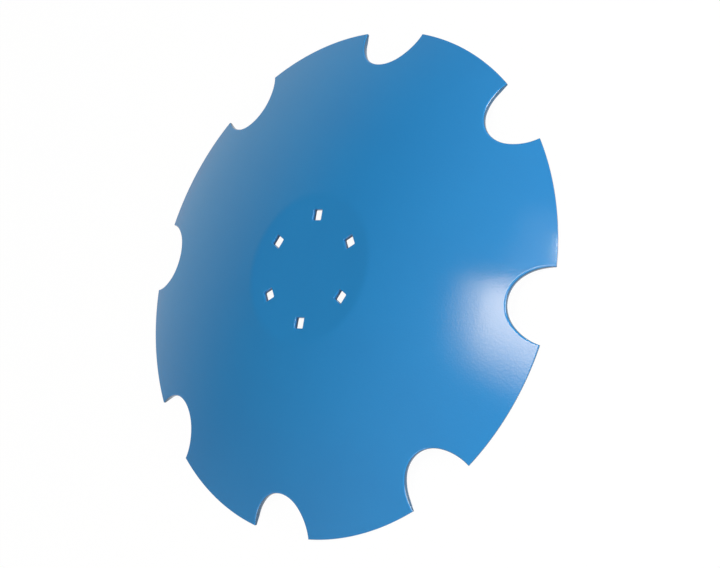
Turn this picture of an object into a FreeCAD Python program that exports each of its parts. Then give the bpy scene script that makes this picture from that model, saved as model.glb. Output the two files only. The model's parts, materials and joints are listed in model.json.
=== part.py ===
import FreeCAD, Part

import math
import os

import Sketcher

# Harrow disc blade: one round plate of tool steel, pressed to a shallow dish with a flat middle.
# Eight round notches bite into the rim, and six square bolt holes stand in a ring on the flat.
#
# The blade lies with its convex side up. Z is the axis of the dish, and z = 0 is the lower edge of
# the rim, so the eight teeth between the notches stand on the plane z = 0. The x axis runs through
# the middle of one notch. All lengths are in millimetres and all angles in degrees.

SIZES = {
    "blade_diameter": 620.0,
    "plate_thickness": 6.0,
    "dish_radius": 820.0,
    "flat_diameter": 176.0,
    "bend_radius": 40.0,
    "rim_land": 3.0,
    "bevel_angle": 7.0,
    "notch_radius": 43.5,
    "notch_inset": 3.0,
    "notch_count": 8,
    "hole_side": 13.0,
    "hole_corner": 1.0,
    "hole_circle": 130.0,
    "hole_count": 6,
    "hole_turn": 4.6,
}

FULL_TURN = 360.0
START, END, CENTRE = 1, 2, 3
ORIGIN_POINT = (-1, 1)
X_AXIS, Y_AXIS = -1, -2


def fill_sheet(doc):
    """The driving dimensions, one row each: name, value, and the name again as the cell's alias."""
    sheet = doc.addObject("Spreadsheet::Sheet", "sizes")
    for row, (name, value) in enumerate(SIZES.items(), start=1):
        sheet.set(f"A{row}", name)
        sheet.set(f"B{row}", str(value))
        sheet.setAlias(f"B{row}", name)
    return sheet


def origin_part(body, role):
    """One of the body's own origin planes or axes."""
    return next(part for part in body.Origin.OriginFeatures if part.Role == role)


def new_sketch(body, name, plane):
    """An empty sketch on one of the body's origin planes."""
    sketch = body.newObject("Sketcher::SketchObject", name)
    sketch.AttachmentSupport = [(origin_part(body, plane), "")]
    sketch.MapMode = "FlatFace"
    return sketch


def drive(sketch, name, constraint, formula):
    """Add a measured constraint under a name and tie it to the sheet."""
    index = sketch.addConstraint(constraint)
    sketch.renameConstraint(index, name)
    sketch.setExpression(f"Constraints.{name}", formula)


def line(sketch, start, end):
    """A straight line between two points of the sketch."""
    return sketch.addGeometry(Part.LineSegment(FreeCAD.Vector(*start), FreeCAD.Vector(*end)))


def arc(sketch, centre, radius, start, end):
    """A round arc, anticlockwise from one angle to another, in radians."""
    circle = Part.Circle(FreeCAD.Vector(*centre), FreeCAD.Vector(0, 0, 1), radius)
    return sketch.addGeometry(Part.ArcOfCircle(circle, start, end))


def join(sketch, kind, first, first_end, second, second_end):
    """Make two ends meet, as a corner (Coincident) or smoothly (Tangent)."""
    sketch.addConstraint(Sketcher.Constraint(kind, first, first_end, second, second_end))


def dish_section(body):
    """Half of the plate's section, from the axis out to the rim.

    Both faces of the dish are arcs about one centre on the axis, so the plate has the same
    thickness all over. A bend joins the dish to the flat middle. The rim is a short upright land,
    and the sharpening bevel runs from it up to the hollow face.
    """
    rim = SIZES["blade_diameter"] / 2
    land = SIZES["rim_land"]
    flat = SIZES["flat_diameter"] / 2
    plate = SIZES["plate_thickness"]
    dish = SIZES["dish_radius"]
    bend = SIZES["bend_radius"]

    # Where the centres, the flat and the two bends lie to begin with: the constraints hold them.
    centre_z = land - math.sqrt(dish ** 2 - rim ** 2)
    bend_z = centre_z + math.sqrt((dish - bend) ** 2 - flat ** 2)
    top = bend_z + bend
    under = top - plate
    dish_start = math.atan2(bend_z - centre_z, flat)
    rim_angle = math.atan2(land - centre_z, rim)
    inner = dish - plate
    bevel_end = rim - (land + inner - math.hypot(rim, centre_z)) / math.sin(math.pi / 2 - rim_angle)
    bevel_z = centre_z + math.sqrt(inner ** 2 - bevel_end ** 2)
    bevel_start = math.atan2(bevel_z - centre_z, bevel_end)

    sketch = new_sketch(body, "dish_section", "XZ_Plane")
    top_line = line(sketch, (0, top, 0), (flat, top, 0))
    outer_bend = arc(sketch, (flat, bend_z, 0), bend, dish_start, math.pi / 2)
    outer_dish = arc(sketch, (0, centre_z, 0), dish, rim_angle, dish_start)
    rim_line = line(sketch, (rim, land, 0), (rim, 0, 0))
    bevel_line = line(sketch, (rim, 0, 0), (bevel_end, bevel_z, 0))
    inner_dish = arc(sketch, (0, centre_z, 0), inner, bevel_start, dish_start)
    inner_bend = arc(sketch, (flat, bend_z, 0), bend - plate, dish_start, math.pi / 2)
    under_line = line(sketch, (flat, under, 0), (0, under, 0))
    axis_line = line(sketch, (0, under, 0), (0, top, 0))

    join(sketch, "Tangent", top_line, END, outer_bend, END)
    join(sketch, "Tangent", outer_bend, START, outer_dish, END)
    join(sketch, "Coincident", outer_dish, START, rim_line, START)
    join(sketch, "Coincident", rim_line, END, bevel_line, START)
    join(sketch, "Coincident", bevel_line, END, inner_dish, START)
    join(sketch, "Tangent", inner_dish, END, inner_bend, START)
    join(sketch, "Tangent", inner_bend, END, under_line, START)
    join(sketch, "Coincident", under_line, END, axis_line, START)
    join(sketch, "Coincident", axis_line, END, top_line, START)
    join(sketch, "Coincident", outer_dish, CENTRE, inner_dish, CENTRE)
    join(sketch, "Coincident", outer_bend, CENTRE, inner_bend, CENTRE)

    for level in (top_line, under_line):
        sketch.addConstraint(Sketcher.Constraint("Horizontal", level))
    for upright in (rim_line, axis_line):
        sketch.addConstraint(Sketcher.Constraint("Vertical", upright))
    sketch.addConstraint(Sketcher.Constraint("PointOnObject", axis_line, START, Y_AXIS))
    sketch.addConstraint(Sketcher.Constraint("PointOnObject", outer_dish, CENTRE, Y_AXIS))
    sketch.addConstraint(Sketcher.Constraint("PointOnObject", rim_line, END, X_AXIS))

    drive(sketch, "rim", Sketcher.Constraint("DistanceX", *ORIGIN_POINT, rim_line, END, rim),
          "sizes.blade_diameter / 2")
    drive(sketch, "land", Sketcher.Constraint("DistanceY", rim_line, END, rim_line, START, land),
          "sizes.rim_land")
    drive(sketch, "flat", Sketcher.Constraint("DistanceX", top_line, START, top_line, END, flat),
          "sizes.flat_diameter / 2")
    drive(sketch, "plate", Sketcher.Constraint("DistanceY", axis_line, START, axis_line, END, plate),
          "sizes.plate_thickness")
    drive(sketch, "dish", Sketcher.Constraint("Radius", outer_dish, dish), "sizes.dish_radius")
    drive(sketch, "bend", Sketcher.Constraint("Radius", outer_bend, bend), "sizes.bend_radius")
    bevel = math.radians(SIZES["bevel_angle"])
    drive(sketch, "bevel", Sketcher.Constraint("Angle", X_AXIS, START, bevel_line, START, math.pi - bevel),
          "180 - sizes.bevel_angle")
    return sketch


def notch_outline(body):
    """The round outline of one notch. Its centre lies a little inside the rim, on the x axis."""
    rim = SIZES["blade_diameter"] / 2
    inset = SIZES["notch_inset"]
    radius = SIZES["notch_radius"]
    sketch = new_sketch(body, "notch_outline", "XY_Plane")
    circle = Part.Circle(FreeCAD.Vector(rim - inset, 0, 0), FreeCAD.Vector(0, 0, 1), radius)
    edge = sketch.addGeometry(circle)
    sketch.addConstraint(Sketcher.Constraint("PointOnObject", edge, CENTRE, X_AXIS))
    drive(sketch, "radius", Sketcher.Constraint("Radius", edge, radius), "sizes.notch_radius")
    drive(sketch, "reach", Sketcher.Constraint("DistanceX", *ORIGIN_POINT, edge, CENTRE, rim - inset),
          "sizes.blade_diameter / 2 - sizes.notch_inset")
    return sketch


def hole_outline(body):
    """The outline of one square hole, with its sides along and across the radius it stands on."""
    reach = SIZES["hole_circle"] / 2
    half = SIZES["hole_side"] / 2
    corner = SIZES["hole_corner"]
    sketch = new_sketch(body, "hole_outline", "XY_Plane")
    sketch.setExpression("AttachmentOffset.Rotation.Angle", "sizes.hole_turn")

    # Four sides and four corner arcs, anticlockwise from the side that faces the rim.
    sides = []
    corners = []
    for quarter in range(4):
        turn = quarter * math.pi / 2

        def place(across, along):
            """A point of the first quarter, turned round the middle of the hole."""
            x = reach + across * math.cos(turn) - along * math.sin(turn)
            y = across * math.sin(turn) + along * math.cos(turn)
            return (x, y, 0)

        straight = half - corner
        sides.append(line(sketch, place(half, -straight), place(half, straight)))
        corners.append(arc(sketch, place(straight, straight), corner, turn, turn + math.pi / 2))

    for quarter in range(4):
        join(sketch, "Tangent", sides[quarter], END, corners[quarter], START)
        join(sketch, "Tangent", corners[quarter], END, sides[(quarter + 1) % 4], START)
    outward, leftward, inward, rightward = sides
    sketch.addConstraint(Sketcher.Constraint("Vertical", inward))
    for side in (leftward, rightward):
        sketch.addConstraint(Sketcher.Constraint("Horizontal", side))
    for other in corners[1:]:
        sketch.addConstraint(Sketcher.Constraint("Equal", corners[0], other))
    sketch.addConstraint(Sketcher.Constraint("Symmetric", outward, START, outward, END, X_AXIS))

    drive(sketch, "corner", Sketcher.Constraint("Radius", corners[0], corner), "sizes.hole_corner")
    drive(sketch, "across", Sketcher.Constraint("DistanceX", inward, END, outward, START, 2 * half),
          "sizes.hole_side")
    drive(sketch, "along", Sketcher.Constraint("DistanceY", rightward, START, leftward, END, 2 * half),
          "sizes.hole_side")
    drive(sketch, "reach", Sketcher.Constraint("DistanceX", *ORIGIN_POINT, outward, START, reach + half),
          "sizes.hole_circle / 2 + sizes.hole_side / 2")
    return sketch


def cut_through(body, sketch, name):
    """A cut along the axis right through the plate, both ways from the sketch."""
    pocket = body.newObject("PartDesign::Pocket", name)
    pocket.Profile = sketch
    pocket.Type = "ThroughAll"
    pocket.Midplane = True
    return pocket


def repeat_round(body, feature, name, count):
    """The same cut again, evenly spaced about the axis of the dish."""
    pattern = body.newObject("PartDesign::PolarPattern", name)
    pattern.Originals = [feature]
    pattern.Axis = (origin_part(body, "Z_Axis"), [""])
    pattern.Angle = FULL_TURN
    pattern.setExpression("Occurrences", count)
    body.Tip = pattern
    return pattern


def make_blade(doc):
    """The whole blade: a turned dish, then the ring of notches, then the ring of holes."""
    body = doc.addObject("PartDesign::Body", "disc_blade")
    body.Label = "disc_blade"

    section = dish_section(body)
    dish = body.newObject("PartDesign::Revolution", "dish")
    dish.Profile = section
    dish.ReferenceAxis = (section, ["V_Axis"])
    dish.Angle = FULL_TURN
    body.Tip = dish
    doc.recompute()

    notch = cut_through(body, notch_outline(body), "notch")
    notches = repeat_round(body, notch, "notches", "sizes.notch_count")
    doc.recompute()

    hole = cut_through(body, hole_outline(body), "hole")
    holes = repeat_round(body, hole, "holes", "sizes.hole_count")
    doc.recompute()

    # Each step has to take metal away, or its cut points off the plate.
    steps = (dish, notch, notches, hole, holes)
    volumes = [step.Shape.Volume for step in steps]
    for before, after, step in zip(volumes, volumes[1:], steps[1:]):
        if after >= before:
            raise RuntimeError(f"{step.Name} cuts nothing")
    return body


def check(doc, bodies):
    """Stop on any failed object or any sub-part that isn't one valid solid."""
    for item in doc.Objects:
        if "Invalid" in item.State or "Error" in item.State:
            raise RuntimeError(f"{item.Name} failed: {item.State}")
    for body in bodies:
        shape = body.Shape
        if shape.isNull() or not shape.isValid() or len(shape.Solids) != 1:
            raise RuntimeError(f"{body.Label} is not one valid solid")


def write(bodies):
    """One STEP file for each sub-part, named after its label."""
    os.makedirs("parts", exist_ok=True)
    for body in bodies:
        box = body.Shape.BoundBox
        print(f"{body.Label}: {box.XLength:.2f} x {box.YLength:.2f} x {box.ZLength:.2f} mm,"
              f" from z = {box.ZMin:.3f}, {body.Shape.Volume / 1000:.1f} cm3")
        body.Shape.exportStep(f"parts/{body.Label}.step")


document = FreeCAD.newDocument("harrow_disc_blade")
fill_sheet(document)
blade = make_blade(document)
document.recompute()
check(document, [blade])
write([blade])
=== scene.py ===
# %% [markdown]
# A harrow disc blade is one plate of hard steel. The maker cuts a round blank with notches in its rim,
# punches six square bolt holes, presses the blank to a shallow dish, grinds the rim and paints it blue.
# This lesson follows that order: cut, punch, press, round the edges, paint, and then light it.

import json
import math

import bmesh
import bpy
from mathutils import Matrix, Vector


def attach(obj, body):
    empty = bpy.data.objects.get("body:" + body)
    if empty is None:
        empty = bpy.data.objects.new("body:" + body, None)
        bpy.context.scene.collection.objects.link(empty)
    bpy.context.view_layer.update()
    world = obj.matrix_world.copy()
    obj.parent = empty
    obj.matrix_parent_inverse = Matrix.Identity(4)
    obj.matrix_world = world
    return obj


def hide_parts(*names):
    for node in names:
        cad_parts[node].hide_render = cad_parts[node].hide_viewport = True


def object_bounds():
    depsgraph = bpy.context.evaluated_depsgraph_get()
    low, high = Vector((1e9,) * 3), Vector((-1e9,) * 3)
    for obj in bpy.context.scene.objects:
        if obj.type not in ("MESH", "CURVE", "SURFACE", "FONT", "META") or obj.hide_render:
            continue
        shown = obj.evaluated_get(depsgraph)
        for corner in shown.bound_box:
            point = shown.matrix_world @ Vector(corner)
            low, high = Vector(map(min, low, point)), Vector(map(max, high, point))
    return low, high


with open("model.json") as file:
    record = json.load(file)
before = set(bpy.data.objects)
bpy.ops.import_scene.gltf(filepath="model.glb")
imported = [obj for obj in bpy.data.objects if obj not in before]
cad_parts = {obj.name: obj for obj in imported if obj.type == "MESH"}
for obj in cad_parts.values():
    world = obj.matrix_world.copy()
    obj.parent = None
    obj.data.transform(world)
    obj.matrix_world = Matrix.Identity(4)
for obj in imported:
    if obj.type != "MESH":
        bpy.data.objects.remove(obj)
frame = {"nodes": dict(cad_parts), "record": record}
cad_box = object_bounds()
print("CAD box, mm:", [round(1000 * (high - low), 1) for low, high in zip(*cad_box)])

# %% [markdown]
# The sizes come in two kinds. Those that the frame can tell, which are the reach of the rim, the height
# of the flat top and the ring of bolt holes, are read from it, so the look always fits the solid. The
# rest are the maker's own values for the press tool and the punches. They are in metres, and each stands
# where it is first needed.

# %% Sizes that the frame tells
MM = 0.001
blade_node = frame["nodes"]["disc_blade"]
rim = max(math.hypot(vert.co.x, vert.co.y) for vert in blade_node.data.vertices)
top = cad_box[1].z
bolt_ring = next(mount for mount in frame["record"]["mounts"] if mount["name"] == "bolt_holes")
hole_reach = bolt_ring["dims"]["pcd_mm"] / 2 * MM
hole_count = bolt_ring["dims"]["count"]
print("rim radius, mm:", round(rim / MM, 2), " top, mm:", round(top / MM, 2), " bolt holes:", hole_count)

# %% [markdown]
# The press tool gives the plate its section: a flat middle, the arc of the dish, and a bend of eighty
# millimetres that joins them softly. The three must meet without a step, and that tells how wide the
# flat is. The blank is cut while it is still flat, so its walls turn with the plate and stay square to
# it. The section is therefore asked for as a height, a direction square to the convex face, and a
# thickness in that direction, which the ground bevel makes less near the rim.

# %% The arcs of the press tool
PLATE = 6.0 * MM
DISH_RADIUS = 820.0 * MM
BEND_RADIUS = 80.0 * MM
RIM_LAND = 3.0 * MM

dish_centre = RIM_LAND - math.sqrt(DISH_RADIUS ** 2 - rim ** 2)
bend_centre = top - BEND_RADIUS
flat = math.sqrt((DISH_RADIUS - BEND_RADIUS) ** 2 - (bend_centre - dish_centre) ** 2)
bend_end = flat + BEND_RADIUS * flat / (DISH_RADIUS - BEND_RADIUS)


def convex_face(reach):
    """The height of the convex face, and the outward and upward shares of the direction square to it."""
    if reach <= flat:
        return top, 0.0, 1.0
    on_bend = reach <= bend_end
    radius, centre = (BEND_RADIUS, bend_centre) if on_bend else (DISH_RADIUS, dish_centre)
    outward = (reach - flat) / BEND_RADIUS if on_bend else reach / DISH_RADIUS
    upward = math.sqrt(1.0 - outward ** 2)
    return centre + radius * upward, outward, upward


print("flat middle, mm:", round(2 * flat / MM, 1), " end of the bend:", round(2 * bend_end / MM, 1))

# %% The ground bevel
BEVEL_ANGLE = math.radians(7.0)
lower_rim = rim - RIM_LAND * rim / math.sqrt(DISH_RADIUS ** 2 - rim ** 2)


def thickness(reach):
    """The plate's thickness, square to the convex face: all of it, or what the ground bevel leaves."""
    height, outward, upward = convex_face(reach)
    slope = math.tan(BEVEL_ANGLE)
    return min(PLATE, (height - (lower_rim - reach) * slope) / (upward + outward * slope))


for reach in (0.0, flat, rim - 10 * MM, rim):
    print("at", round(reach / MM), "mm: height", round(convex_face(reach)[0] / MM, 2),
          "thickness", round(thickness(reach) / MM, 2))

# %% [markdown]
# The blank's outline is eight notches and eight stretches of rim. A boolean cut through a finished dish
# would work, but it leaves slivers that spoil a gloss finish. So the outline is drawn first and the mesh
# grows inwards from it. A notch nearly follows a circle with its centre just inside the rim, which gives
# its depth and the corners of its mouth. Seen closely it has three arcs that run smoothly into each
# other: a tighter one at the bottom and a larger one on each side, through the corner of the mouth.

# %% The arcs of a notch
NOTCH_RADIUS = 43.5 * MM
NOTCH_INSET = 3.0 * MM
NOTCH_COUNT = 8
NOTCH_BOTTOM = 39.0 * MM
BOTTOM_HALF = math.radians(45)

notch_reach = rim - NOTCH_INSET
notch_end = notch_reach - NOTCH_RADIUS
mouth_cosine = (rim ** 2 + notch_reach ** 2 - NOTCH_RADIUS ** 2) / (2 * rim * notch_reach)
mouth = math.acos(mouth_cosine)
mouth_corner = Vector((rim * math.cos(mouth), rim * math.sin(mouth)))

bottom_centre = Vector((notch_end + NOTCH_BOTTOM, 0.0))
to_joint = Vector((-math.cos(BOTTOM_HALF), math.sin(BOTTOM_HALF)))
joint = bottom_centre + NOTCH_BOTTOM * to_joint
chord = mouth_corner - joint
side_radius = chord.length_squared / (-2 * chord.dot(to_joint))
side_centre = joint - side_radius * to_joint
side_angle = (mouth_corner - side_centre).angle(to_joint)
print("mouth of a notch, mm:", round(2 * mouth_corner.y / MM, 1),
      " depth:", round((rim - notch_end) / MM, 1), " radius of its sides:", round(side_radius / MM, 1))

# %% [markdown]
# One vertex, spun about a centre, draws an arc. Three such arcs draw a notch, a fourth one about the
# axis draws the rim as far as the next notch, and spinning copies of all four closes the ring.

# %% Draw the outline of the blank
BOTTOM_STEPS, SIDE_STEPS, RIM_STEPS = 20, 10, 24
COLUMNS = NOTCH_COUNT * (BOTTOM_STEPS + 2 * SIDE_STEPS + RIM_STEPS)
MERGE = 0.001 * MM
AXIS = Vector((0.0, 0.0, 1.0))


def spin_arc(bm, start, centre, angle, steps):
    """Spin one vertex into an arc of edges and return the vertex at its end."""
    spun = bmesh.ops.spin(bm, geom=[start], cent=centre, axis=AXIS, angle=angle, steps=steps)
    return next(item for item in spun["geom_last"] if isinstance(item, bmesh.types.BMVert))


def copies_round(bm, geom, count):
    """Spin copies of the geometry about the axis, and weld the ends that meet."""
    bmesh.ops.spin(bm, geom=geom, cent=(0, 0, 0), axis=AXIS, use_duplicate=True,
                   angle=math.tau * (count - 1) / count, steps=count - 1)
    bmesh.ops.remove_doubles(bm, verts=bm.verts[:], dist=MERGE)


blank = bmesh.new()
tip = blank.verts.new((mouth_corner.x, -mouth_corner.y, 0.0))
tip = spin_arc(blank, tip, (side_centre.x, -side_centre.y, 0), -side_angle, SIDE_STEPS)
tip = spin_arc(blank, tip, (bottom_centre.x, 0, 0), -2 * BOTTOM_HALF, BOTTOM_STEPS)
tip = spin_arc(blank, tip, (side_centre.x, side_centre.y, 0), -side_angle, SIDE_STEPS)
spin_arc(blank, tip, (0, 0, 0), math.tau / NOTCH_COUNT - 2 * mouth, RIM_STEPS)
copies_round(blank, blank.verts[:] + blank.edges[:], NOTCH_COUNT)
print("outline:", len(blank.verts), "corners of", COLUMNS)

# %% [markdown]
# From the outline inwards the blank needs rings of faces, because the press bends it later. A ring is
# the last loop of edges, extruded and then drawn in. The first one follows the outline at an even
# distance and leaves room for the rounding of its edge.

# %% Follow the outline inwards
EDGE_RING = 2.9 * MM


def grow_inwards(bm, edges):
    """Extrude a loop of edges. Returns the new loop of edges and its vertices, still on the old ones."""
    made = bmesh.ops.extrude_edge_only(bm, edges=edges)["geom"]
    return ([item for item in made if isinstance(item, bmesh.types.BMEdge)],
            [item for item in made if isinstance(item, bmesh.types.BMVert)])


def in_order(edges, verts):
    """The vertices of a closed loop in turn, anticlockwise from the bottom of the first notch."""
    inside = set(edges)
    first_notch = Vector((notch_end, 0, 0))
    first = min(verts, key=lambda vert: (vert.co - first_notch).length)
    onwards = AXIS.cross(first.co)
    both_ways = [edge for edge in first.link_edges if edge in inside]
    step = max(both_ways, key=lambda edge: (edge.other_vert(first).co - first.co).dot(onwards))
    loop = [first]
    here = step.other_vert(first)
    while here is not first:
        loop.append(here)
        step = next(edge for edge in here.link_edges if edge in inside and edge is not step)
        here = step.other_vert(here)
    return loop


def draw_in(loop, width):
    """Move each vertex of a loop inwards, so that its two edges stay parallel to where they were."""
    moves = []
    for place, vert in enumerate(loop):
        following = loop[(place + 1) % len(loop)]
        before_it = AXIS.cross(vert.co - loop[place - 1].co).normalized()
        after_it = AXIS.cross(following.co - vert.co).normalized()
        moves.append((before_it + after_it) * width / (1 + before_it.dot(after_it)))
    for vert, move in zip(loop, moves):
        vert.co += move


loop_edges, loop_verts = grow_inwards(blank, blank.edges[:])
draw_in(in_order(loop_edges, loop_verts), EDGE_RING)
print("first ring:", len(blank.faces), "faces,", round(EDGE_RING / MM, 1), "mm wide")

# %% [markdown]
# The next ring goes from there to a plain circle clear of the notches, and is cut into even rows. The
# last rings follow the circle in, close together where the plate bends, and end at the flat middle.

# %% Run out the notches into a plain circle
ROWS = 12
ROW_WIDTH = 6.0 * MM

plain_circle = rim - EDGE_RING - ROWS * ROW_WIDTH
loop_edges, loop_verts = grow_inwards(blank, loop_edges)
for place, vert in enumerate(in_order(loop_edges, loop_verts)):
    turn = math.tau * place / COLUMNS
    vert.co = (plain_circle * math.cos(turn), plain_circle * math.sin(turn), 0.0)

on_circle = set(loop_verts)
across = [edge for edge in blank.edges if (edge.verts[0] in on_circle) != (edge.verts[1] in on_circle)]
bmesh.ops.subdivide_edges(blank, edges=across, cuts=ROWS - 1, use_grid_fill=True)
print("plain circle, mm:", round(2 * plain_circle / MM, 1), " faces so far:", len(blank.faces))

# %% Close in on the flat middle
RING_WIDTH = 8.0 * MM
BEND_RINGS = 5


def even_steps(start, end, count):
    """The radii of so many rings, evenly spaced from one radius to another."""
    return [start + (end - start) * step / count for step in range(1, count + 1)]


ring_count = round((plain_circle - bend_end) / RING_WIDTH)
radii = even_steps(plain_circle, bend_end, ring_count) + even_steps(bend_end, flat, BEND_RINGS)
before = plain_circle
for radius in radii:
    loop_edges, loop_verts = grow_inwards(blank, loop_edges)
    bmesh.ops.scale(blank, verts=loop_verts, vec=(radius / before, radius / before, 1.0))
    before = radius
flat_edge = loop_edges
print("rings:", 1 + ROWS + len(radii), " faces so far:", len(blank.faces))

# %% [markdown]
# The bolt holes are square, for the square necks of the bolts, with their sides along and across the
# radius. A hole starts as a larger square with rounded corners, which is inset by the collar: that
# leaves the true outline of the hole with a collar of even faces round it. The face in the middle is
# then taken out.

# %% Punch one bolt hole
HOLE_SIDE = 13.0 * MM
HOLE_CORNER = 1.0 * MM
COLLAR = 3.0 * MM
CORNER_STEPS = 6
square_side = HOLE_SIDE + 2 * COLLAR


def turn_about_axis(bm, angle):
    """Turn all vertices of a bmesh about the axis."""
    bmesh.ops.rotate(bm, verts=bm.verts[:], cent=(0, 0, 0), matrix=Matrix.Rotation(angle, 3, "Z"))


punch = bmesh.new()
bmesh.ops.create_circle(punch, cap_ends=True, radius=square_side / math.sqrt(2), segments=4)
turn_about_axis(punch, math.pi / 4)
bmesh.ops.bevel(punch, geom=punch.verts[:], offset=HOLE_CORNER + COLLAR, offset_type="OFFSET",
                segments=CORNER_STEPS, profile=0.5, affect="VERTICES", material=-1)
middle_face = punch.faces[:]
bmesh.ops.inset_region(punch, faces=middle_face, thickness=COLLAR,
                       use_even_offset=True, use_boundary=True)
bmesh.ops.delete(punch, geom=middle_face, context="FACES")
hole_outline = [vert.co for vert in punch.verts if vert.is_boundary and vert.co.length < square_side / 2]
hole_size = [2 * max(place[side] for place in hole_outline) for side in (0, 1)]
print("bolt hole, mm:", [round(size / MM, 2) for size in hole_size])

# %% [markdown]
# The punched square is moved out to the ring of bolt holes and copied round. The ring is turned a little
# against the notches. Then it joins the blank, and the flat between the collars and the rings is filled
# with triangles: it stays flat, so their shape does not show.

# %% Set the holes in their ring
HOLE_TURN = math.radians(4.6)

bmesh.ops.translate(punch, verts=punch.verts[:], vec=(hole_reach, 0, 0))
turn_about_axis(punch, HOLE_TURN)
copies_round(punch, punch.verts[:] + punch.edges[:] + punch.faces[:], hole_count)

punched = bpy.data.meshes.new("punched")
punch.to_mesh(punched)
punch.free()
ring_faces = set(blank.faces)
blank.from_mesh(punched)
bpy.data.meshes.remove(punched)
collar_faces = [face for face in blank.faces if face not in ring_faces]
print("faces of the collars:", len(collar_faces))

# %% Fill the flat middle
clear_of_hole = HOLE_SIDE / math.sqrt(2)


def nearest_hole(place):
    """The middle of the bolt hole that lies nearest to a place."""
    turns = (HOLE_TURN + math.tau * hole / hole_count for hole in range(hole_count))
    middles = (Vector((hole_reach * math.cos(turn), hole_reach * math.sin(turn), 0.0)) for turn in turns)
    return min(middles, key=lambda middle: (middle - place).length)


collar_edges = {edge for face in collar_faces for edge in face.edges if edge.is_boundary}
outer_edges = [edge for edge in collar_edges
               if all((vert.co - nearest_hole(vert.co)).length > clear_of_hole for vert in edge.verts)]
bmesh.ops.triangle_fill(blank, use_beauty=True, edges=flat_edge + outer_edges, normal=AXIS)
print("faces of the blank:", len(blank.faces))

# %% [markdown]
# Now the blank gets its thickness and goes into the press. Extruding all its faces at once closes the
# rim, the notches and the holes with walls. The press then lifts each vertex of the new face straight up
# to the convex face, and brings the old vertex under it to the hollow face, square to the plate. In the
# photograph the walls of the near notch show only half as wide as walls parallel to the axis would.

# %% Press the dish
lower = blank.verts[:]
bmesh.ops.recalc_face_normals(blank, faces=blank.faces[:])
raised = bmesh.ops.extrude_face_region(blank, geom=blank.faces[:] + blank.edges[:] + blank.verts[:])
upper = [item for item in raised["geom"] if isinstance(item, bmesh.types.BMVert)]
for vert in upper:
    vert.co.z = convex_face(vert.co.xy.length)[0]
for vert in lower:
    reach = vert.co.xy.length
    height, outward, upward = convex_face(reach)
    depth = thickness(reach)
    drawn_in = (reach - depth * outward) / reach
    vert.co = (vert.co.x * drawn_in, vert.co.y * drawn_in, height - depth * upward)
bmesh.ops.recalc_face_normals(blank, faces=blank.faces[:])
print("open edges:", sum(not edge.is_manifold for edge in blank.edges),
      " volume, cm3:", round(blank.calc_volume() * 1e6, 1))

# %% [markdown]
# No painted edge is knife sharp. The punch that cuts the notches drags the plate's upper edge down with
# it and leaves a round almost half as high as the plate is thick. The small holes have less, and the
# ground rim and the lower edges very little. Each edge gets a weight of its own, its share of the widest
# round, which is less where the bevel thins the plate, and one Bevel modifier rounds them all at once.
# Shallow creases are not rounded but marked sharp: the one where the ground bevel begins, on the hollow
# side, and the narrow facets in the corners of the holes.

# %% Weigh the edges
WIDEST_ROUND = 2.6 * MM
NOTCH_EDGE, HOLE_EDGE, RIM_EDGE, LOWER_EDGE = 1.0, 0.38, 0.22, 0.18
SHARP = math.radians(40)
CREASE = (math.radians(9), math.radians(20))
RIM_MARGIN = 0.01 * MM

upper_verts = set(upper)


def kind_of_edge(edge):
    """Which of the four kinds a sharp edge is, told by where it lies."""
    reaches = [vert.co.xy.length for vert in edge.verts]
    if not all(vert in upper_verts for vert in edge.verts):
        return LOWER_EDGE
    if reaches[0] < flat:
        return HOLE_EDGE
    return RIM_EDGE if min(reaches) > rim - RIM_MARGIN else NOTCH_EDGE


weight = blank.edges.layers.float.new("bevel_weight_edge")
counts = {NOTCH_EDGE: 0, HOLE_EDGE: 0, RIM_EDGE: 0, LOWER_EDGE: 0}
for edge in blank.edges:
    bend = edge.calc_face_angle(0.0)
    edge.smooth = not CREASE[0] < bend < CREASE[1]
    if bend < SHARP:
        continue
    kind = kind_of_edge(edge)
    counts[kind] += 1
    edge[weight] = kind
    if kind == NOTCH_EDGE:
        edge[weight] = kind * thickness(edge.verts[0].co.xy.length) / PLATE
print("edges to round:", counts, " crisp edges:", sum(not edge.smooth for edge in blank.edges))

# %% [markdown]
# The faces get the full blue of the spray. The cut walls of the rim and the notches get a deeper blue,
# which is painted shade, and the walls of the small square holes a dark, dull blue, also painted shade,
# with the full blue as painted light in their upper half. So there are three coats: a wall is a face
# that stands upright, and the holes lie inside the flat.

# %% Tell the walls from the faces
FACE, WALL, HOLE_WALL = 0, 1, 2
UPRIGHT = 0.5

for face in blank.faces:
    face.smooth = True
    wall = HOLE_WALL if face.calc_center_median().xy.length < flat else WALL
    face.material_index = wall if abs(face.normal.z) <= UPRIGHT else FACE
coats_found = [face.material_index for face in blank.faces]
print("faces of each coat:", [coats_found.count(coat) for coat in (FACE, WALL, HOLE_WALL)])

# %% [markdown]
# The finished mesh becomes one object. It stands for the solid disc_blade, which is hidden, and rides on
# the only body. The first ring left room for the rounds, so the Bevel modifier's own guard against
# overlaps, which would shrink them, is off. Weighted normals let the large faces of the dish decide the
# shading, so that the small rounds do not pull it out of true.

# %% Make the blade
ROUND_STEPS = 6

blade_mesh = bpy.data.meshes.new("painted_blade")
blank.to_mesh(blade_mesh)
blank.free()
blade = bpy.data.objects.new("painted_blade", blade_mesh)
bpy.context.scene.collection.objects.link(blade)
rounds = blade.modifiers.new("rounded edges", "BEVEL")
rounds.limit_method = "WEIGHT"
rounds.width = WIDEST_ROUND
rounds.segments = ROUND_STEPS
rounds.use_clamp_overlap = False
weighted = blade.modifiers.new("large faces lead", "WEIGHTED_NORMAL")
weighted.mode = "FACE_AREA"
weighted.keep_sharp = True
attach(blade, "root")
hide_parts("disc_blade")
print("painted blade:", len(blade_mesh.vertices), "vertices")

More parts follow.
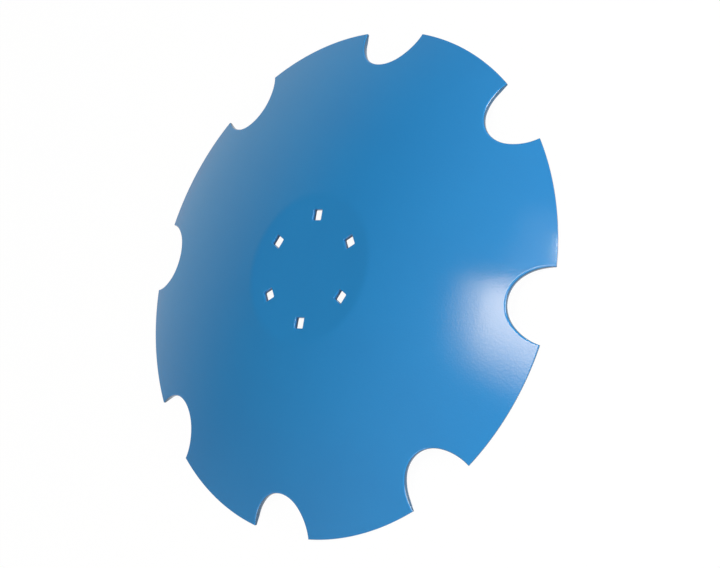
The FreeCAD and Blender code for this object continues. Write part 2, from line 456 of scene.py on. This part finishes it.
# %% [markdown]
# A finish, the floor, the room and a lamp's cloth are all small trees of nodes, so a few helpers keep
# the node work short. One of them gives any input its value: a link where the value changes over the
# surface, and a plain number or colour where it doesn't.

# %% Helpers for the nodes
def blank_material(name):
    """A node material with nothing in it but its shader and its output."""
    material = bpy.data.materials.new(name)
    material.use_nodes = True
    nodes = material.node_tree.nodes
    return material, nodes, material.node_tree.links, nodes["Principled BSDF"]


def feed(links, value, entry):
    """Give an input its value, from another node's output or as a constant."""
    if isinstance(value, bpy.types.NodeSocket):
        links.new(value, entry)
    else:
        entry.default_value = value


def ramp(nodes, links, value, start, end, low=0.0, high=1.0, slope="SMOOTHSTEP"):
    """Run from low to high while the value runs from start to end."""
    node = nodes.new("ShaderNodeMapRange")
    node.interpolation_type = slope
    links.new(value, node.inputs["Value"])
    for name, amount in (("From Min", start), ("From Max", end), ("To Min", low), ("To Max", high)):
        feed(links, amount, node.inputs[name])
    return node.outputs["Result"]


def mix_colours(nodes, links, share, first, second):
    """A colour between two."""
    node = nodes.new("ShaderNodeMix")
    node.data_type = "RGBA"
    for name, value in (("Factor", share), ("A", first), ("B", second)):
        feed(links, value, node.inputs[name])
    return node.outputs["Result"]


# %% [markdown]
# The paint is a gloss enamel sprayed in one coat. Close up it has orange peel, a skin of soft bumps two
# or three millimetres wide, and the plate under it is not quite even. Its blue is a little deeper where
# more paint lies. All of it comes from noise on the object's own coordinates, so it stays with the
# blade, and the numbers that are the same everywhere are set on the shader itself.

# %% Noise and bumps
NOISE_MIDDLE = (0.3, 0.7)


def noise(nodes, links, place, scale, detail):
    """Noise of so many bumps to the metre, on the coordinates given."""
    texture = nodes.new("ShaderNodeTexNoise")
    texture.inputs["Scale"].default_value = scale
    texture.inputs["Detail"].default_value = detail
    links.new(place, texture.inputs["Vector"])
    return texture.outputs["Fac"]


def spread_noise(nodes, links, noisy, low, high):
    """Noise huddles round its middle: spread that middle over a range of our own."""
    return ramp(nodes, links, noisy, *NOISE_MIDDLE, low, high, slope="LINEAR")


def bump(nodes, links, height, depth, strength):
    """A bump node of so many metres."""
    node = nodes.new("ShaderNodeBump")
    node.inputs["Strength"].default_value = strength
    node.inputs["Distance"].default_value = depth
    links.new(height, node.inputs["Height"])
    return node


# %% Mix the blue enamel
PAINT_IOR = 1.5
CLOUDS, SMUDGES, WAVES, PEEL = 9.0, 60.0, 14.0, 480.0
WAVE_DEPTH, PEEL_DEPTH = 0.6 * MM, 0.2 * MM
FULL_BLUE = (0.002, 0.166, 0.434, 1.0)


def enamel(name, pale, deep, glossiest, dullest, mirror):
    """A paint between two blues and two roughnesses, with orange peel on a slightly uneven plate."""
    material, nodes, links, shader = blank_material(name)
    place = nodes.new("ShaderNodeTexCoord").outputs["Object"]
    shader.inputs["IOR"].default_value = PAINT_IOR
    shader.inputs["Specular IOR Level"].default_value = mirror
    clouds = spread_noise(nodes, links, noise(nodes, links, place, CLOUDS, detail=4.0), 0.0, 1.0)
    links.new(mix_colours(nodes, links, clouds, pale, deep), shader.inputs["Base Color"])
    smudges = noise(nodes, links, place, SMUDGES, detail=3.0)
    links.new(spread_noise(nodes, links, smudges, glossiest, dullest), shader.inputs["Roughness"])
    waves = bump(nodes, links, noise(nodes, links, place, WAVES, detail=2.0), WAVE_DEPTH, strength=0.25)
    peel = bump(nodes, links, noise(nodes, links, place, PEEL, detail=1.0), PEEL_DEPTH, strength=0.35)
    links.new(waves.outputs["Normal"], peel.inputs["Normal"])
    links.new(peel.outputs["Normal"], shader.inputs["Normal"])
    return material


full_coat = enamel("blue_enamel", FULL_BLUE, deep=(0.002, 0.158, 0.420, 1.0),
                   glossiest=0.11, dullest=0.13, mirror=0.5)
# The wall coat's deeper blue is painted shade on the cut walls of the rim and the notches.
wall_shade_coat = enamel("wall_enamel_painted_shade", pale=(0.002, 0.066, 0.150, 1.0), deep=(0.002, 0.056, 0.125, 1.0),
                   glossiest=0.12, dullest=0.18, mirror=0.9)
# The hole coat's dark, dull blue is painted shade inside the bolt holes.
hole_shade_coat = enamel("hole_enamel_painted_shade", pale=(0.003, 0.075, 0.180, 1.0), deep=(0.003, 0.060, 0.140, 1.0),
                   glossiest=0.25, dullest=0.40, mirror=0.45)
for coat in (full_coat, wall_shade_coat, hole_shade_coat):
    blade_mesh.materials.append(coat)
print("coats:", [coat.name for coat in blade_mesh.materials])

# %% [markdown]
# Inside a bolt hole the full blue is painted light on the upper half of the wall, the dark blue below it
# painted shade. The height of a point on the blade tells which, and a narrow soft step joins the two.

# %% Paint light on the upper half of the hole walls, and shade below it
LIT_WALL_DEPTH = 3.0 * MM
SHADE_STEP_WIDTH = 0.5 * MM

nodes, links = hole_shade_coat.node_tree.nodes, hole_shade_coat.node_tree.links
place = nodes.new("ShaderNodeSeparateXYZ")
links.new(nodes.new("ShaderNodeTexCoord").outputs["Object"], place.inputs["Vector"])
shade_begins = top - LIT_WALL_DEPTH
# Full blue on the upper half of a hole wall is painted light; the dark blue below it is painted shade.
lit_upper_share = ramp(nodes, links, place.outputs["Z"], shade_begins - SHADE_STEP_WIDTH, shade_begins + SHADE_STEP_WIDTH)
base_colour = nodes["Principled BSDF"].inputs["Base Color"]
hole_shade_blue = base_colour.links[0].from_socket
links.new(mix_colours(nodes, links, lit_upper_share, hole_shade_blue, FULL_BLUE), base_colour)
print("full blue ends at, mm:", round(shade_begins / MM, 1))

# %% [markdown]
# The blade lies on a plain pale floor. To the camera, and to the gloss of the paint, the floor glows
# white at a strength of one, which Light Path tells apart from the light that falls on the blade. Near
# the blade the floor keeps a small share of real, lit white, and that share is what holds the shadow.
# Further out the share fades to nothing, so that the floor runs into the background with no horizon.

# %% Lay the floor
FLOOR_SIZE = 12.0

floor_maker = bmesh.new()
bmesh.ops.create_grid(floor_maker, x_segments=1, y_segments=1, size=FLOOR_SIZE / 2)
floor_mesh = bpy.data.meshes.new("floor")
floor_maker.to_mesh(floor_mesh)
floor_maker.free()
floor = bpy.data.objects.new("floor", floor_mesh)
bpy.context.scene.collection.objects.link(floor)
print("floor, m:", FLOOR_SIZE)

# %% Make the floor glow
PLAIN_WHITE = (1.0, 1.0, 1.0, 1.0)
FLOOR_WHITE = (0.88, 0.92, 0.98, 1.0)
FLOOR_GLOW = 0.97
SHADOW_REACH = (1.0, 2.5)


def calculate(nodes, links, operation, first, second):
    """One number out of two."""
    node = nodes.new("ShaderNodeMath")
    node.operation = operation
    feed(links, first, node.inputs[0])
    feed(links, second, node.inputs[1])
    return node.outputs["Value"]


def seen_directly(nodes, links):
    """1 for rays from the camera, from gloss and through glass, 0 for the light between surfaces."""
    path = nodes.new("ShaderNodeLightPath").outputs
    gloss, glass = path["Is Glossy Ray"], path["Is Transmission Ray"]
    gloss_or_glass = calculate(nodes, links, "MAXIMUM", gloss, glass)
    return calculate(nodes, links, "MAXIMUM", path["Is Camera Ray"], gloss_or_glass)


white, nodes, links, shader = blank_material("white_floor")
shader.inputs["Base Color"].default_value = FLOOR_WHITE
shader.inputs["Roughness"].default_value = 1.0
shader.inputs["Specular IOR Level"].default_value = 0.0
glow = nodes.new("ShaderNodeEmission")
glow.inputs["Color"].default_value = PLAIN_WHITE
glow.inputs["Strength"].default_value = 1.0

distance = nodes.new("ShaderNodeVectorMath")
distance.operation = "LENGTH"
links.new(nodes.new("ShaderNodeTexCoord").outputs["Object"], distance.inputs[0])
glow_there = ramp(nodes, links, distance.outputs["Value"], *SHADOW_REACH, low=FLOOR_GLOW)
glow_share = calculate(nodes, links, "MULTIPLY", seen_directly(nodes, links), glow_there)
mixed = nodes.new("ShaderNodeMixShader")
links.new(glow_share, mixed.inputs["Fac"])
links.new(shader.outputs["BSDF"], mixed.inputs[1])
links.new(glow.outputs["Emission"], mixed.inputs[2])
links.new(mixed.outputs["Shader"], nodes["Material Output"].inputs["Surface"])
floor_mesh.materials.append(white)
print("share of the floor's own white near the blade:", round(1 - FLOOR_GLOW, 2))

# %% [markdown]
# Gloss paint shows the room it stands in. The room here is white, with one softly darker side opposite
# the camera and a bright window with cool daylight low in the middle of it. Both are round patches in
# the sky of the world: the closer a direction comes to the middle of a patch, the more of it is added.
# The light that the room itself casts on the blade is even, apart from the cool tint of the window.

# %% Furnish the room
ROOM_LIGHT = 0.42
ROOM_WHITE = 0.93
COOL = (0.78, 1.10, 1.25, 1.0)

world = bpy.data.worlds.new("studio")
bpy.context.scene.world = world
world.use_nodes = True
nodes, links = world.node_tree.nodes, world.node_tree.links
sky = nodes.new("ShaderNodeTexCoord").outputs["Generated"]


def direction(compass, height):
    """A unit vector from degrees anticlockwise of +X and degrees above the floor."""
    compass, height = math.radians(compass), math.radians(height)
    level = math.cos(height)
    return Vector((math.cos(compass) * level, math.sin(compass) * level, math.sin(height)))


def patch(middle, edge, amount):
    """The brightness that a round patch of sky adds: edge is the cosine at which it ends."""
    near = nodes.new("ShaderNodeVectorMath")
    near.operation = "DOT_PRODUCT"
    near.inputs[1].default_value = middle
    links.new(sky, near.inputs[0])
    return ramp(nodes, links, near.outputs["Value"], edge, 1.0, high=amount)


dark_side = patch(direction(75, 21), edge=0.39, amount=-0.58)
window = patch(direction(64, -4), edge=0.62, amount=0.66)
room = calculate(nodes, links, "ADD", ROOM_WHITE, dark_side)
room = calculate(nodes, links, "ADD", room, window)
room = ramp(nodes, links, seen_directly(nodes, links), 0.0, 1.0, ROOM_LIGHT, room, slope="LINEAR")
background = nodes["Background"]
links.new(mix_colours(nodes, links, window, PLAIN_WHITE, COOL), background.inputs["Color"])
links.new(room, background.inputs["Strength"])
print("light of the room:", ROOM_LIGHT, " white of the room in the gloss:", ROOM_WHITE)

# %% [markdown]
# The camera itself is not shown the room. Behind the blade it sees plain white, as bright as the glow of
# the floor, so the picture has a white background from every side.

# %% Put plain white behind the blade
plain_white = nodes.new("ShaderNodeBackground")
plain_white.inputs["Color"].default_value = PLAIN_WHITE
plain_white.inputs["Strength"].default_value = 1.0
behind_blade = nodes.new("ShaderNodeMixShader")
links.new(nodes.new("ShaderNodeLightPath").outputs["Is Camera Ray"], behind_blade.inputs["Fac"])
links.new(background.outputs["Background"], behind_blade.inputs[1])
links.new(plain_white.outputs["Background"], behind_blade.inputs[2])
links.new(behind_blade.outputs["Shader"], nodes["World Output"].inputs["Surface"])
print("nodes of the world:", len(nodes))

# %% [markdown]
# The photograph shows one large soft lamp mirrored beside the near notch. The paint is a mirror there,
# and the mirrored direction points almost straight up, so the lamp hangs over the blade. Cycles spreads
# a lamp's watts so that its brightness is watts / (pi * area), so each lamp is given by the brightness
# that it shows.

# %% Hang the large lamp
NEUTRAL = (1.0, 1.0, 1.0)
WARM = (1.0, 0.81, 0.59)
DOWN = Vector((0, 0, -1))
LEFT, RIGHT, NEAR, FAR, LAMP_HEIGHT = -0.93, 0.50, -1.10, 0.44, 3.0


def soft_lamp(name, place, faces, size, brightness, tint=NEUTRAL):
    """A rectangular softbox of one brightness, which faces along a direction."""
    light = bpy.data.lights.new(name, "AREA")
    light.color = tint
    light.shape = "RECTANGLE"
    light.size, light.size_y = size
    light.energy = brightness * math.pi * size[0] * size[1]
    lamp = bpy.data.objects.new(name, light)
    lamp.location = place
    lamp.rotation_euler = (-faces).to_track_quat("Z", "Y").to_euler()
    bpy.context.scene.collection.objects.link(lamp)
    return light


overhead = soft_lamp("overhead_softbox", ((LEFT + RIGHT) / 2, (NEAR + FAR) / 2, LAMP_HEIGHT),
                     faces=DOWN, size=(RIGHT - LEFT, FAR - NEAR), brightness=14.5, tint=WARM)
print("overhead lamp, watts:", round(overhead.energy, 1))

# %% [markdown]
# The cloth of that lamp is crisp on two of its sides and fades towards the other two. Nodes in the lamp
# paint this across its face, whose two coordinates run from 0 to 1. The fade from the left runs at a
# slant. The other one is a bright core inside a wider, dimmer halo.

# %% Fade the lamp's cloth
SLANT = -0.278
LEFT_FADE = (0.03, 0.66)
HALO, HALO_FADE = 0.44, (1.0, 0.69)
CORE, CORE_FADE = 0.52, (0.78, 0.60)

overhead.use_nodes = True
nodes, links = overhead.node_tree.nodes, overhead.node_tree.links
cloth = nodes.new("ShaderNodeSeparateXYZ")
links.new(nodes.new("ShaderNodeNewGeometry").outputs["Parametric"], cloth.inputs["Vector"])
across, along = cloth.outputs["X"], cloth.outputs["Y"]
slanted = calculate(nodes, links, "ADD", calculate(nodes, links, "MULTIPLY", along, SLANT), across)
from_left = ramp(nodes, links, slanted, *LEFT_FADE)
halo = ramp(nodes, links, along, *HALO_FADE, high=HALO)
core = ramp(nodes, links, along, *CORE_FADE, high=CORE)
core_and_halo = calculate(nodes, links, "ADD", halo, core)
strength = calculate(nodes, links, "MULTIPLY", from_left, core_and_halo)
links.new(strength, nodes["Emission"].inputs["Strength"])
print("brightest share of the cloth:", round(HALO + CORE, 2))

# %% [markdown]
# Two more soft lamps stand low, on the camera's side and to the left, and make the near half of the dish
# brighter than the far half. The camera does not see them mirrored, but a view from behind does. A small
# lamp beside the large one gives the second, weaker light on the rim, and a dim panel stands for the
# ceiling.

# %% Set up the smaller lamps
LOW_LAMP = 3.0
PALE_WARM = (1.0, 0.95, 0.86)

near_side = direction(285, 11)
left_side = direction(195, 20)
soft_lamp("near_softbox", LOW_LAMP * near_side, faces=-near_side, size=(2.0, 1.0), brightness=15.0)
soft_lamp("left_softbox", LOW_LAMP * left_side, faces=-left_side, size=(1.5, 1.5), brightness=3.3)
soft_lamp("small_softbox", (1.03, -0.94, LAMP_HEIGHT), faces=DOWN, size=(0.16, 0.3), brightness=84.0,
          tint=PALE_WARM)
soft_lamp("ceiling_panel", (1.0, -0.8, LAMP_HEIGHT + 0.1), faces=DOWN, size=(0.9, 1.2), brightness=0.7)

# %% [markdown]
# The camera stands where the photographer stood, found from the corners of the notches, the stretches of
# rim and the bolt holes. It looks down on the blade, turned over on its side, which is why the blade
# seems to stand in the picture.

# %% Set up the camera
CAMERA_AIM = Vector((-0.00202, -0.03221, 0.0))
CAMERA_DISTANCE = 2.08044
CAMERA_COMPASS = -99.196
CAMERA_HEIGHT = 47.834
CAMERA_ROLL = math.radians(70.389)
LENS = 87.994
SENSOR = 36.0

camera = bpy.data.cameras.new("camera")
camera.lens = LENS
camera.sensor_width = SENSOR
camera_object = bpy.data.objects.new("camera", camera)
bpy.context.scene.collection.objects.link(camera_object)
outwards = direction(CAMERA_COMPASS, CAMERA_HEIGHT)
camera_object.location = CAMERA_AIM + outwards * CAMERA_DISTANCE
level_turn = outwards.to_track_quat("Z", "Y").to_matrix()
camera_object.rotation_euler = (level_turn @ Matrix.Rotation(-CAMERA_ROLL, 3, "Z")).to_euler()
bpy.context.scene.camera = camera_object
bpy.context.scene.view_settings.view_transform = "Standard"
print("camera, m:", [round(share, 2) for share in camera_object.location])
